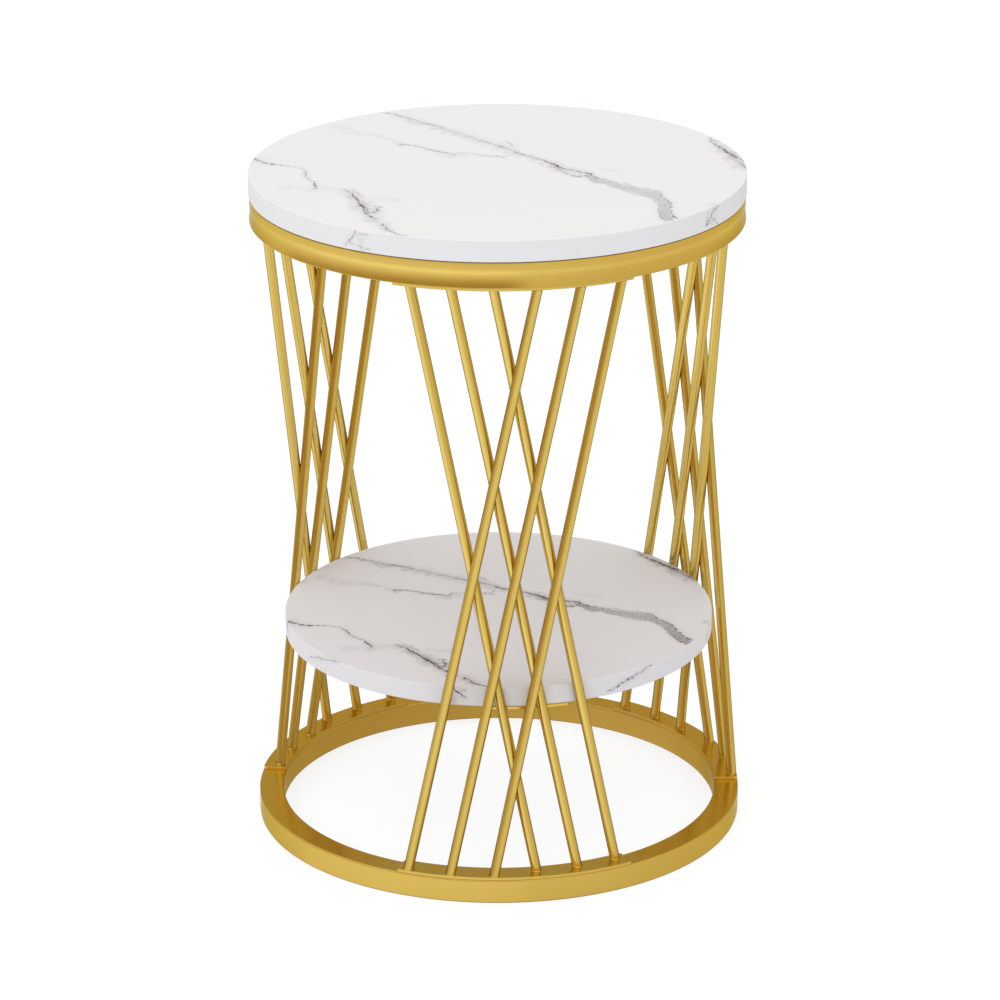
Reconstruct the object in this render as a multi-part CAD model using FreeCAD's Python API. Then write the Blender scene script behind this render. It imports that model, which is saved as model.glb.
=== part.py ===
import FreeCAD, Part
import math
import os

# Tiered side table: a round top board and a smaller round shelf in a cage of three steel
# panels. Each panel is six straight rods in two crossing layers, welded between a top
# plate and a base plate. The panels stand on a base ring of square tube and carry a top
# ring of square tube whose outer side is drawn in to a shallow waist. The top board lies
# on the top ring.
#
# Millimetres, +Z up, origin on the floor under the table's centre. Angles are degrees
# about +Z, counted from the front (-Y) towards the right (+X).

# ---------------------------------------------------------------- driving dimensions

TABLE_HEIGHT = 554.0            # floor to the top board's top face

# Boards, both laminated and with crisp edges
TOP_DIAMETER = 400.0
TOP_THICKNESS = 18.0
SHELF_THICKNESS = 16.0
SHELF_HEIGHT = 177.0            # floor to the shelf's top face
SHELF_GAP = 0.3                 # shelf's edge to the inner rods
EDGE_BREAK = 0.6                # chamfer on every board edge

# Top ring: tube under the top board. Its outer side is straight down to the shoulder,
# draws in to a waist and flares out again to the foot, flush with the board's edge.
TOP_TUBE_WIDTH = 20.0           # at the foot
TOP_TUBE_HEIGHT = 20.5
TOP_TUBE_WALL = 1.5             # at the waist, where it is thinnest
TOP_TUBE_CORNER = 0.5           # chamfer that stands for the tube's tight corners
TOP_SHOULDER_INSET = 0.5        # straight upper part, in from the foot
TOP_SHOULDER_HEIGHT = 15.5      # above the tube's underside
TOP_WAIST_INSET = 0.8           # in from the foot
TOP_WAIST_HEIGHT = 10.0         # above the tube's underside

# Base ring: square tube, flat on the floor
BASE_DIAMETER = 402.0
BASE_TUBE_SIDE = 20.0
BASE_TUBE_WALL = 1.5
BASE_TUBE_CORNER = 0.8          # chamfer that stands for the tube's tight outside corners

# Panels of crossed rods, each named with the angle of its middle
PANEL_ANGLES = {"front": 4.0, "right": 118.5, "left": -125.5}
ROD_DIAMETER = 8.0
RODS_PER_LAYER = 3
ROD_PITCH = 10.3                # angle between neighbouring rod ends
LAYER_GAP = 0.05                # between outer and inner rods where they cross

# Plates at the panels' ends
TOP_PLATE_THICKNESS = 3.0
BASE_PLATE_THICKNESS = 2.5
PLATE_CORNER = 3.0              # corner radius, seen from above
PLATE_OVERHANG = 10.0           # from the last rod's middle to the plate's end
TOP_PLATE_INSET = 3.5           # plate's outer edge, in from the top ring's foot
TOP_PLATE_MARGIN = 0.2          # plate inside the inner rods
BASE_PLATE_INSET = 0.3          # plate's edges, in from the base ring's sides

# Shelf strips, welded to two inner rods of each panel
STRIP_THICKNESS = 2.5
STRIP_WIDTH = 16.0
STRIP_CORNER = 2.0
STRIP_ROD_GAP = 0.1             # strip's outer edge to the rods that it is welded to
STRIP_TAIL = 16.0               # past the first rod's middle
STRIP_NOSE = 23.0               # past the second rod's middle

# Top screws: one in each panel, countersunk flush, up through plate and tube into the
# top board
TOP_SCREW_DIAMETER = 4.5
TOP_SCREW_LENGTH = 36.0         # with its head
TOP_SCREW_HEAD = 9.0
TOP_SCREW_CLEARANCE = 0.5       # on the diameter, in the plate and the tube

# Shelf screws: two pan heads in each strip, up into the shelf
SHELF_SCREW_DIAMETER = 3.5
SHELF_SCREW_LENGTH = 14.0       # under the head
SHELF_SCREW_HEAD = 7.0
SHELF_SCREW_SPREAD = 22.0       # from the strip's middle
SHELF_SCREW_CLEARANCE = 0.4     # on the diameter, in the strip

SCREW_HEAD_SHARE = 0.3          # height of a pan head, as a share of its diameter
SCREW_CROWN_SHARE = 0.1         # chamfer round a pan head, as a share of its diameter
PILOT_CLEARANCE = 0.1           # on the diameter, round a screw in a board or nut on a stud
RECESS_SPAN = 3.6               # cross recess in a screw head
RECESS_SLOT = 0.9
RECESS_DEPTH = 1.4

# Studs welded under the base plates, and their flange nuts inside the base ring
STUD_DIAMETER = 5.0
STUD_LENGTH = 12.0
STUD_CLEARANCE = 0.6            # on the diameter, in the tube's upper wall
STUD_PITCHES = 2.0              # from the panel's middle, in rod pitches
NUT_ACROSS_FLATS = 8.0
NUT_HEIGHT = 5.0
NUT_FLANGE_DIAMETER = 11.8
NUT_FLANGE_HEIGHT = 1.2
ACCESS_DIAMETER = 14.0          # hole in the tube's lower wall, for the socket spanner

# ---------------------------------------------------------------- derived places

ROD_RADIUS = ROD_DIAMETER / 2
PANEL_END_ANGLE = (RODS_PER_LAYER - 0.5) * ROD_PITCH
# A leaning rod runs nearest to the axis half-way up, and there the layers are closest
HALF_LEAN = RODS_PER_LAYER * ROD_PITCH / 2
LAYER_STEP = (ROD_DIAMETER + LAYER_GAP) / math.cos(math.radians(HALF_LEAN))

TOP_UNDERSIDE = TABLE_HEIGHT - TOP_THICKNESS
TOP_RING_OUTER = TOP_DIAMETER / 2
TOP_RING_INNER = TOP_RING_OUTER - TOP_TUBE_WIDTH
TOP_RING_RADIUS = (TOP_RING_OUTER + TOP_RING_INNER) / 2
TOP_RING_BOTTOM = TOP_UNDERSIDE - TOP_TUBE_HEIGHT
TOP_PLATE_BOTTOM = TOP_RING_BOTTOM - TOP_PLATE_THICKNESS
TOP_PLATE_OUTER = TOP_RING_OUTER - TOP_PLATE_INSET

BASE_OUTER = BASE_DIAMETER / 2
BASE_INNER = BASE_OUTER - BASE_TUBE_SIDE
BASE_RING_RADIUS = (BASE_OUTER + BASE_INNER) / 2
BASE_PLATE_TOP = BASE_TUBE_SIDE + BASE_PLATE_THICKNESS
BASE_PLATE_OUTER = BASE_OUTER - BASE_PLATE_INSET
BASE_PLATE_INNER = BASE_INNER + BASE_PLATE_INSET

# Radii of the rods' middles at their two ends
OUTER_ROD_TOP = TOP_PLATE_OUTER - ROD_RADIUS
INNER_ROD_TOP = OUTER_ROD_TOP - LAYER_STEP
OUTER_ROD_BASE = BASE_PLATE_OUTER - ROD_RADIUS
INNER_ROD_BASE = OUTER_ROD_BASE - LAYER_STEP
TOP_PLATE_INNER = INNER_ROD_TOP - ROD_RADIUS - TOP_PLATE_MARGIN

SHELF_UNDERSIDE = SHELF_HEIGHT - SHELF_THICKNESS
STRIP_BOTTOM = SHELF_UNDERSIDE - STRIP_THICKNESS


def at(radius, angle, height):
    """Point at a radius and an angle from the front, at a height above the floor."""
    turn = math.radians(angle)
    return FreeCAD.Vector(radius * math.sin(turn), -radius * math.cos(turn), height)


def arc_angle(length, radius):
    """Angle that an arc of this length takes at this radius."""
    return math.degrees(length / radius)


def inner_rod_ends(place):
    """Ends of the inner rod that starts at this place, from 0, on the base plate.

    Inner rods stand on the right half of the base plate and lean to the left half of the
    top plate, RODS_PER_LAYER pitches away.
    """
    base_angle = (place + 0.5) * ROD_PITCH
    top_angle = base_angle - RODS_PER_LAYER * ROD_PITCH
    base = at(INNER_ROD_BASE, base_angle, BASE_PLATE_TOP)
    top = at(INNER_ROD_TOP, top_angle, TOP_PLATE_BOTTOM)
    return base, top


def outer_rod_ends(place):
    """Ends of the outer rod that starts at this place, from 0: the inner rod mirrored."""
    base_angle = -(place + 0.5) * ROD_PITCH
    top_angle = base_angle + RODS_PER_LAYER * ROD_PITCH
    base = at(OUTER_ROD_BASE, base_angle, BASE_PLATE_TOP)
    top = at(OUTER_ROD_TOP, top_angle, TOP_PLATE_BOTTOM)
    return base, top


def inner_rod_middle(place, height):
    """Radius and angle of an inner rod's middle at a height."""
    base, top = inner_rod_ends(place)
    share = (height - base.z) / (top.z - base.z)
    point = base + (top - base) * share
    return math.hypot(point.x, point.y), math.degrees(math.atan2(point.x, -point.y))


def room_inside_rods(low, high):
    """Radius that is free inside the inner rods between two heights."""
    nearest = min(inner_rod_middle(0, low)[0], inner_rod_middle(0, high)[0])
    return nearest - ROD_RADIUS


SHELF_RADIUS = room_inside_rods(SHELF_UNDERSIDE, SHELF_HEIGHT) - SHELF_GAP
STRIP_OUTER = room_inside_rods(STRIP_BOTTOM, SHELF_UNDERSIDE) - STRIP_ROD_GAP
STRIP_INNER = STRIP_OUTER - STRIP_WIDTH
STRIP_MIDDLE_RADIUS = (STRIP_OUTER + STRIP_INNER) / 2
STRIP_START = inner_rod_middle(0, STRIP_BOTTOM)[1] - arc_angle(STRIP_TAIL, STRIP_OUTER)
STRIP_END = inner_rod_middle(1, STRIP_BOTTOM)[1] + arc_angle(STRIP_NOSE, STRIP_OUTER)
STRIP_MIDDLE_ANGLE = (STRIP_START + STRIP_END) / 2

# Places of the fasteners in one panel, as angles from the panel's middle
TOP_SCREW_ANGLES = (0.0,)
STUD_ANGLES = (-STUD_PITCHES * ROD_PITCH, STUD_PITCHES * ROD_PITCH)
SHELF_SCREW_ANGLES = (
    STRIP_MIDDLE_ANGLE - arc_angle(SHELF_SCREW_SPREAD, STRIP_MIDDLE_RADIUS),
    STRIP_MIDDLE_ANGLE + arc_angle(SHELF_SCREW_SPREAD, STRIP_MIDDLE_RADIUS),
)


# ---------------------------------------------------------------- shared forms

def turned(shape, angle):
    """Copy of a shape, turned about the table's axis."""
    copy = shape.copy()
    copy.rotate(FreeCAD.Vector(0, 0, 0), FreeCAD.Vector(0, 0, 1), angle)
    return copy


def cylinder(diameter, low, high, centre=FreeCAD.Vector(0, 0, 0)):
    """Upright cylinder between two heights."""
    foot = FreeCAD.Vector(centre.x, centre.y, low)
    return Part.makeCylinder(diameter / 2, high - low, foot)


def band(outer, inner, low, high):
    """Flat-sided ring between two radii and two heights."""
    return cylinder(2 * outer, low, high).cut(cylinder(2 * inner, low, high))


def arc_plate(outer, inner, start, end, low, thickness, corner):
    """Plate bent along the ring, between two angles, with its four corners rounded."""
    middle = (start + end) / 2
    outer_arc = Part.Arc(at(outer, start, low), at(outer, middle, low), at(outer, end, low))
    inner_arc = Part.Arc(at(inner, end, low), at(inner, middle, low), at(inner, start, low))
    edges = [
        outer_arc.toShape(),
        Part.makeLine(at(outer, end, low), at(inner, end, low)),
        inner_arc.toShape(),
        Part.makeLine(at(inner, start, low), at(outer, start, low)),
    ]
    plate = Part.Face(Part.Wire(edges)).extrude(FreeCAD.Vector(0, 0, thickness))
    upright = [edge for edge in plate.Edges if abs(edge.tangentAt(edge.FirstParameter).z) > 0.9]
    return plate.makeFillet(corner, upright)


def board(radius, underside, thickness):
    """Round board with both edges broken by a small chamfer."""
    disc = cylinder(2 * radius, underside, underside + thickness)
    rims = [edge for edge in disc.Edges if isinstance(edge.Curve, Part.Circle)]
    return disc.makeChamfer(EDGE_BREAK, rims)


def recessed(outline, seat):
    """Screw turned from half an outline that starts on its head, with a cross recess."""
    half = Part.Face(Part.makePolygon(outline + outline[:1]))
    screw = half.revolve(FreeCAD.Vector(0, 0, 0), FreeCAD.Vector(0, 0, 1), 360)
    for width, depth in ((RECESS_SPAN, RECESS_SLOT), (RECESS_SLOT, RECESS_SPAN)):
        corner = FreeCAD.Vector(-width / 2, -depth / 2, outline[0].z)
        screw = screw.cut(Part.makeBox(width, depth, RECESS_DEPTH, corner))
    screw.translate(seat)
    return screw


def countersunk_screw(diameter, head, length, seat):
    """Screw that points up from a flat conical head, level with its seat."""
    radius = diameter / 2
    return recessed([
        FreeCAD.Vector(0, 0, 0),
        FreeCAD.Vector(head / 2, 0, 0),
        FreeCAD.Vector(radius, 0, head / 2 - radius),
        FreeCAD.Vector(radius, 0, length - diameter),
        FreeCAD.Vector(0, 0, length),
    ], seat)


def pan_screw(diameter, head, length, seat):
    """Screw that points up from a pan head below its seat."""
    radius = diameter / 2
    crown = SCREW_CROWN_SHARE * head
    bottom = -SCREW_HEAD_SHARE * head
    return recessed([
        FreeCAD.Vector(0, 0, bottom),
        FreeCAD.Vector(head / 2 - crown, 0, bottom),
        FreeCAD.Vector(head / 2, 0, bottom + crown),
        FreeCAD.Vector(head / 2, 0, 0),
        FreeCAD.Vector(radius, 0, 0),
        FreeCAD.Vector(radius, 0, length - diameter),
        FreeCAD.Vector(0, 0, length),
    ], seat)


def every_panel(angles):
    """Angles of a fastener pattern that repeats in every panel."""
    return [panel + angle for panel in PANEL_ANGLES.values() for angle in angles]


# ---------------------------------------------------------------- boards

def top_board():
    """Top board, with blind pilot holes for the top screws."""
    shape = board(TOP_DIAMETER / 2, TOP_UNDERSIDE, TOP_THICKNESS)
    tip = TOP_PLATE_BOTTOM + TOP_SCREW_LENGTH + PILOT_CLEARANCE
    for angle in every_panel(TOP_SCREW_ANGLES):
        place = at(TOP_RING_RADIUS, angle, 0)
        pilot = cylinder(TOP_SCREW_DIAMETER + PILOT_CLEARANCE, TOP_UNDERSIDE, tip, place)
        shape = shape.cut(pilot)
    return shape


def shelf_board():
    """Shelf, with blind pilot holes for the shelf screws."""
    shape = board(SHELF_RADIUS, SHELF_UNDERSIDE, SHELF_THICKNESS)
    tip = STRIP_BOTTOM + SHELF_SCREW_LENGTH + PILOT_CLEARANCE
    for angle in every_panel(SHELF_SCREW_ANGLES):
        place = at(STRIP_MIDDLE_RADIUS, angle, 0)
        pilot = cylinder(SHELF_SCREW_DIAMETER + PILOT_CLEARANCE, SHELF_UNDERSIDE, tip, place)
        shape = shape.cut(pilot)
    return shape


# ---------------------------------------------------------------- rings

def top_ring_outline():
    """Outline of the top tube's outside, as edges in the XZ plane."""
    shoulder_radius = TOP_RING_OUTER - TOP_SHOULDER_INSET
    waist_radius = TOP_RING_OUTER - TOP_WAIST_INSET
    corner = TOP_TUBE_CORNER
    foot = FreeCAD.Vector(TOP_RING_OUTER, 0, TOP_RING_BOTTOM + corner)
    waist = FreeCAD.Vector(waist_radius, 0, TOP_RING_BOTTOM + TOP_WAIST_HEIGHT)
    shoulder = FreeCAD.Vector(shoulder_radius, 0, TOP_RING_BOTTOM + TOP_SHOULDER_HEIGHT)
    below = (foot.z + waist.z) / 2
    above = (waist.z + shoulder.z) / 2
    flare = Part.BezierCurve()
    flare.setPoles([foot, FreeCAD.Vector(waist_radius, 0, below), waist])
    draw_in = Part.BezierCurve()
    draw_in.setPoles([waist, FreeCAD.Vector(waist_radius, 0, above),
                      FreeCAD.Vector(shoulder_radius, 0, above), shoulder])
    straight = [
        shoulder,
        FreeCAD.Vector(shoulder_radius, 0, TOP_UNDERSIDE - corner),
        FreeCAD.Vector(shoulder_radius - corner, 0, TOP_UNDERSIDE),
        FreeCAD.Vector(TOP_RING_INNER + corner, 0, TOP_UNDERSIDE),
        FreeCAD.Vector(TOP_RING_INNER, 0, TOP_UNDERSIDE - corner),
        FreeCAD.Vector(TOP_RING_INNER, 0, TOP_RING_BOTTOM + corner),
        FreeCAD.Vector(TOP_RING_INNER + corner, 0, TOP_RING_BOTTOM),
        FreeCAD.Vector(TOP_RING_OUTER - corner, 0, TOP_RING_BOTTOM),
        foot,
    ]
    edges = [Part.makeLine(start, end) for start, end in zip(straight, straight[1:])]
    return [flare.toShape(), draw_in.toShape()] + edges


def top_ring():
    """Hoop of tube with a drawn-in outer side, hollow, drilled across for the top screws."""
    outline = Part.Face(Part.Wire(top_ring_outline()))
    outside = outline.revolve(FreeCAD.Vector(0, 0, 0), FreeCAD.Vector(0, 0, 1), 360)
    inside = band(TOP_RING_OUTER - TOP_WAIST_INSET - TOP_TUBE_WALL,
                  TOP_RING_INNER + TOP_TUBE_WALL,
                  TOP_RING_BOTTOM + TOP_TUBE_WALL, TOP_UNDERSIDE - TOP_TUBE_WALL)
    shape = outside.cut(inside)
    for angle in every_panel(TOP_SCREW_ANGLES):
        place = at(TOP_RING_RADIUS, angle, 0)
        hole = cylinder(TOP_SCREW_DIAMETER + TOP_SCREW_CLEARANCE, TOP_RING_BOTTOM,
                        TOP_UNDERSIDE, place)
        shape = shape.cut(hole)
    return shape


def base_ring():
    """Hoop of square tube, hollow, with stud holes above and access holes below."""
    outside = band(BASE_OUTER, BASE_INNER, 0, BASE_TUBE_SIDE)
    corners = [edge for edge in outside.Edges if isinstance(edge.Curve, Part.Circle)]
    outside = outside.makeChamfer(BASE_TUBE_CORNER, corners)
    ceiling = BASE_TUBE_SIDE - BASE_TUBE_WALL
    inside = band(BASE_OUTER - BASE_TUBE_WALL, BASE_INNER + BASE_TUBE_WALL,
                  BASE_TUBE_WALL, ceiling)
    shape = outside.cut(inside)
    for angle in every_panel(STUD_ANGLES):
        place = at(BASE_RING_RADIUS, angle, 0)
        stud_hole = cylinder(STUD_DIAMETER + STUD_CLEARANCE, BASE_TUBE_SIDE / 2,
                             BASE_TUBE_SIDE, place)
        access = cylinder(ACCESS_DIAMETER, 0, BASE_TUBE_SIDE / 2, place)
        shape = shape.cut(stud_hole).cut(access)
    return shape


# ---------------------------------------------------------------- panels, at the front

def top_plate():
    """Plate welded to the rods' top ends, drilled and countersunk for the top screw."""
    reach = PANEL_END_ANGLE + arc_angle(PLATE_OVERHANG, OUTER_ROD_TOP)
    plate = arc_plate(TOP_PLATE_OUTER, TOP_PLATE_INNER, -reach, reach,
                      TOP_PLATE_BOTTOM, TOP_PLATE_THICKNESS, PLATE_CORNER)
    mouth = (TOP_SCREW_HEAD + PILOT_CLEARANCE) / 2
    for angle in TOP_SCREW_ANGLES:
        place = at(TOP_RING_RADIUS, angle, TOP_PLATE_BOTTOM)
        hole = cylinder(TOP_SCREW_DIAMETER + TOP_SCREW_CLEARANCE, TOP_PLATE_BOTTOM,
                        TOP_RING_BOTTOM, place)
        countersink = Part.makeCone(mouth, 0, mouth, place)
        plate = plate.cut(hole).cut(countersink)
    return plate


def base_plate():
    """Plate welded to the rods' lower ends, with two studs welded under it."""
    reach = PANEL_END_ANGLE + arc_angle(PLATE_OVERHANG, OUTER_ROD_BASE)
    plate = arc_plate(BASE_PLATE_OUTER, BASE_PLATE_INNER, -reach, reach,
                      BASE_TUBE_SIDE, BASE_PLATE_THICKNESS, PLATE_CORNER)
    for angle in STUD_ANGLES:
        place = at(BASE_RING_RADIUS, angle, 0)
        stud = cylinder(STUD_DIAMETER, BASE_TUBE_SIDE - STUD_LENGTH, BASE_TUBE_SIDE, place)
        plate = plate.fuse(stud)
    return plate.removeSplitter()


def rod(base, top):
    """Straight rod between two points, its ends trimmed level to sit flat on the plates."""
    direction = (top - base).normalize()
    spare = direction * ROD_DIAMETER
    bar = Part.makeCylinder(ROD_RADIUS, (top - base).Length + 2 * ROD_DIAMETER,
                            base - spare, direction)
    room = cylinder(2 * BASE_DIAMETER, base.z, top.z)
    return bar.common(room)


def shelf_strip():
    """Strip under the shelf's edge, drilled for the shelf screws."""
    strip = arc_plate(STRIP_OUTER, STRIP_INNER, STRIP_START, STRIP_END,
                      STRIP_BOTTOM, STRIP_THICKNESS, STRIP_CORNER)
    for angle in SHELF_SCREW_ANGLES:
        strip = strip.cut(cylinder(SHELF_SCREW_DIAMETER + SHELF_SCREW_CLEARANCE,
                                   STRIP_BOTTOM, SHELF_UNDERSIDE,
                                   at(STRIP_MIDDLE_RADIUS, angle, 0)))
    return strip


def panel_pieces():
    """Pieces of one panel with its middle at the front, by the name of their place."""
    pieces = {
        "top_plate": top_plate(),
        "base_plate": base_plate(),
        "shelf_strip": shelf_strip(),
    }
    for place in range(RODS_PER_LAYER):
        pieces["outer_rod_%d" % (place + 1)] = rod(*outer_rod_ends(place))
        pieces["inner_rod_%d" % (place + 1)] = rod(*inner_rod_ends(place))
    return pieces


# ---------------------------------------------------------------- fasteners

def top_screws():
    """Screws that hold the top board down on the top ring and the plates."""
    screws = [
        countersunk_screw(TOP_SCREW_DIAMETER, TOP_SCREW_HEAD, TOP_SCREW_LENGTH,
                          at(TOP_RING_RADIUS, angle, TOP_PLATE_BOTTOM))
        for angle in every_panel(TOP_SCREW_ANGLES)
    ]
    return Part.makeCompound(screws)


def shelf_screws():
    """Screws that hold the shelf to its strips."""
    screws = [
        pan_screw(SHELF_SCREW_DIAMETER, SHELF_SCREW_HEAD, SHELF_SCREW_LENGTH,
                  at(STRIP_MIDDLE_RADIUS, angle, STRIP_BOTTOM))
        for angle in every_panel(SHELF_SCREW_ANGLES)
    ]
    return Part.makeCompound(screws)


def flange_nut():
    """Hexagon nut with a round flange on top, its axis on +Z and its seat at height 0."""
    corner_radius = NUT_ACROSS_FLATS / math.sqrt(3)
    corners = [at(corner_radius, 60 * step, -NUT_HEIGHT) for step in range(6)]
    hexagon = Part.Face(Part.makePolygon(corners + corners[:1]))
    body = hexagon.extrude(FreeCAD.Vector(0, 0, NUT_HEIGHT))
    flange = cylinder(NUT_FLANGE_DIAMETER, -NUT_FLANGE_HEIGHT, 0)
    bore = cylinder(STUD_DIAMETER + PILOT_CLEARANCE, -NUT_HEIGHT, 0)
    return body.fuse(flange).cut(bore)


def base_nuts():
    """Flange nuts on the base plates' studs, tight against the tube's upper wall."""
    nuts = []
    for angle in every_panel(STUD_ANGLES):
        nut = turned(flange_nut(), angle)
        nut.translate(at(BASE_RING_RADIUS, angle, BASE_TUBE_SIDE - BASE_TUBE_WALL))
        nuts.append(nut)
    return Part.makeCompound(nuts)


# ---------------------------------------------------------------- the whole table

def table():
    """Every piece of the table in its place, by node name."""
    nodes = {
        "top_board": top_board(),
        "top_ring": top_ring(),
        "shelf_board": shelf_board(),
        "base_ring": base_ring(),
        "top_screws": top_screws(),
        "shelf_screws": shelf_screws(),
        "base_nuts": base_nuts(),
    }
    pieces = panel_pieces()
    for panel, angle in PANEL_ANGLES.items():
        for name, shape in pieces.items():
            nodes["%s_%s" % (panel, name)] = turned(shape, angle)
    return nodes


os.makedirs("parts", exist_ok=True)
for node, shape in table().items():
    shape.exportStep("parts/%s.step" % node)
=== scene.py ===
# Tiered side table: a round marble-look top and a smaller shelf in a cage of three steel
# panels, between a square-tube hoop on the floor and a drawn-in tube hoop under the top.
# Metres, +Z up, on the floor under the table's centre. Angles in degrees about +Z, counted
# from the front (-Y) towards the right (+X).

import math

import bmesh
import bpy
from mathutils import Matrix, Vector
from mathutils.geometry import interpolate_bezier


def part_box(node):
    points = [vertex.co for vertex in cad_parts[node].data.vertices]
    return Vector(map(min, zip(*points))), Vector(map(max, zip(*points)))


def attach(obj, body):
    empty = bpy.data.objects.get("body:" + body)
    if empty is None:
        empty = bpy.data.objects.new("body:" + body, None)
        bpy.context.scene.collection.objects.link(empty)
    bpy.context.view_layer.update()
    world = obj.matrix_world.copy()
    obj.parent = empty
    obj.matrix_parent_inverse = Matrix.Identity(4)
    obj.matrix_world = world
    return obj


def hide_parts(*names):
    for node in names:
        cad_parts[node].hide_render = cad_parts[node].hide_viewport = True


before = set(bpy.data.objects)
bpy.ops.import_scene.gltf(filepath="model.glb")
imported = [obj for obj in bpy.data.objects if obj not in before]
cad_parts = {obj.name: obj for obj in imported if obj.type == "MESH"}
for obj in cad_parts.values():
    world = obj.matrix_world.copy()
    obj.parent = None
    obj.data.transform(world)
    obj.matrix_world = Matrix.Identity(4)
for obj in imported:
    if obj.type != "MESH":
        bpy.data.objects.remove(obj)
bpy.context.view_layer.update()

scene = bpy.context.scene
mm = 0.001


# ---------------------------------------------------------------- base hoop
# Square steel tube bent into a hoop, butt-welded, ground flush and plated satin gold. It
# lies flat on the floor. A small hole in its upper wall takes each stud, and a wide one
# below it lets the socket spanner in.

base_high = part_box("base_ring")[1]
base_outer = base_high.x
base_side = base_high.z
base_inner = base_outer - base_side
base_wall = 1.5 * mm
base_corner = 1.2 * mm
base_middle = base_outer - base_side / 2
hoop_steps = 256
peg_steps = 48
softened_angle = 40
shaded_angle = 38
rod_pitch = 10.3
panel_turns = {"front": 4.0, "right": 118.5, "left": -125.5}
stud_turns = (-2 * rod_pitch, 2 * rod_pitch)
stud_diameter = 5 * mm
stud_hole = 5.6 * mm
spanner_hole = 14 * mm


def spot(radius, turn, height):
    """Point at a radius and an angle from the front, at a height above the floor."""
    angle = math.radians(turn)
    return Vector((radius * math.sin(angle), -radius * math.cos(angle), height))


def lathe(profile, steps):
    """Closed shape turned about the Z axis from (radius, height) points."""
    bm = bmesh.new()
    points = [bm.verts.new((radius, 0, height)) for radius, height in profile]
    edges = [bm.edges.new(pair) for pair in zip(points, points[1:] + points[:1])]
    bmesh.ops.spin(bm, geom=points + edges, axis=(0, 0, 1), cent=(0, 0, 0),
                   angle=2 * math.pi, steps=steps, use_merge=True)
    bmesh.ops.remove_doubles(bm, verts=bm.verts, dist=0.001 * mm)
    bmesh.ops.dissolve_degenerate(bm, edges=bm.edges, dist=0.001 * mm)
    bmesh.ops.recalc_face_normals(bm, faces=bm.faces)
    return bm


def soften(bm, width, segments):
    """Rounds every edge that is sharp enough to feel."""
    sharp = [edge for edge in bm.edges
             if edge.calc_face_angle(0) > math.radians(softened_angle)]
    bmesh.ops.bevel(bm, geom=sharp, affect="EDGES", offset=width, offset_type="OFFSET",
                    segments=segments, profile=0.5, material=-1)


def peg(diameter, low, high, place=Vector((0, 0, 0))):
    """Upright cylinder between two heights."""
    middle = Vector((place.x, place.y, (low + high) / 2))
    bm = bmesh.new()
    bmesh.ops.create_cone(bm, cap_ends=True, segments=peg_steps, radius1=diameter / 2,
                          radius2=diameter / 2, depth=high - low,
                          matrix=Matrix.Translation(middle))
    return bm


def join(bm, other, place=Vector((0, 0, 0)), turn=0):
    """Adds a turned and moved copy of another shape to a shape."""
    copy = bpy.data.meshes.new("copy")
    other.to_mesh(copy)
    copy.transform(Matrix.Translation(place) @ Matrix.Rotation(math.radians(turn), 4, "Z"))
    bm.from_mesh(copy)
    bpy.data.meshes.remove(copy)


def cut(bm, tool):
    """Takes one closed shape away from another."""
    parts = []
    for shape in (bm, tool):
        parts.append(bpy.data.objects.new("cut", bpy.data.meshes.new("cut")))
        shape.to_mesh(parts[-1].data)
        scene.collection.objects.link(parts[-1])
    boolean = parts[0].modifiers.new("cut", "BOOLEAN")
    boolean.object = parts[1]
    boolean.operation = "DIFFERENCE"
    boolean.solver = "EXACT"
    seen = parts[0].evaluated_get(bpy.context.evaluated_depsgraph_get())
    result = bpy.data.meshes.new_from_object(seen)
    bm.clear()
    bm.from_mesh(result)
    bpy.data.meshes.remove(result)
    for part in parts:
        mesh = part.data
        bpy.data.objects.remove(part)
        bpy.data.meshes.remove(mesh)


def fit(name, bm, material, slot, *nodes):
    """Finishes a piece: smooth shading up to sharp edges, its material, and its place."""
    mesh = bpy.data.meshes.new(name)
    bm.to_mesh(mesh)
    bm.free()
    mesh.shade_smooth()
    mesh.set_sharp_from_angle(angle=math.radians(shaded_angle))
    mesh.materials.append(material)
    piece = bpy.data.objects.new(name, mesh)
    scene.collection.objects.link(piece)
    shading = piece.modifiers.new("even_shading", "WEIGHTED_NORMAL")
    shading.keep_sharp = True
    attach(piece, "root")
    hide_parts(*nodes)
    return piece


def paint(red, green, blue):
    """Colour from 0 to 255 on each channel, as the shaders take it."""
    linear = []
    for channel in (red / 255, green / 255, blue / 255):
        dark = channel / 12.92
        linear.append(dark if channel <= 0.04045 else ((channel + 0.055) / 1.055) ** 2.4)
    return (*linear, 1)


def add(tree, kind, inputs, **settings):
    """Adds a shader node, with its settings, and its inputs as values or as other outputs."""
    node = tree.nodes.new("ShaderNode" + kind)
    for name, value in settings.items():
        setattr(node, name, value)
    for name, value in inputs.items():
        if isinstance(value, bpy.types.NodeSocket):
            tree.links.new(value, node.inputs[name])
        else:
            node.inputs[name].default_value = value
    return node


def new_material(name):
    """Empty node material: its tree, its shader and the piece's own coordinates."""
    material = bpy.data.materials.new(name)
    material.use_nodes = True
    tree = material.node_tree
    shader = tree.nodes["Principled BSDF"]
    where = add(tree, "TexCoord", {}).outputs["Object"]
    return material, tree, shader, where


def spread(tree, value, low, high, start=0.0, end=1.0):
    """Stretches a texture, from 0 to 1 or a part of that, to a range of values."""
    return add(tree, "MapRange", {"Value": value, "From Min": start, "From Max": end,
                                  "To Min": low, "To Max": high}).outputs["Result"]


def noise(tree, where, scale, detail, roughness=0.5, distortion=0.0):
    """Soft noise at a scale, as a texture node."""
    return add(tree, "TexNoise", {"Vector": where, "Scale": scale, "Detail": detail,
                                  "Roughness": roughness, "Distortion": distortion})


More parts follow.
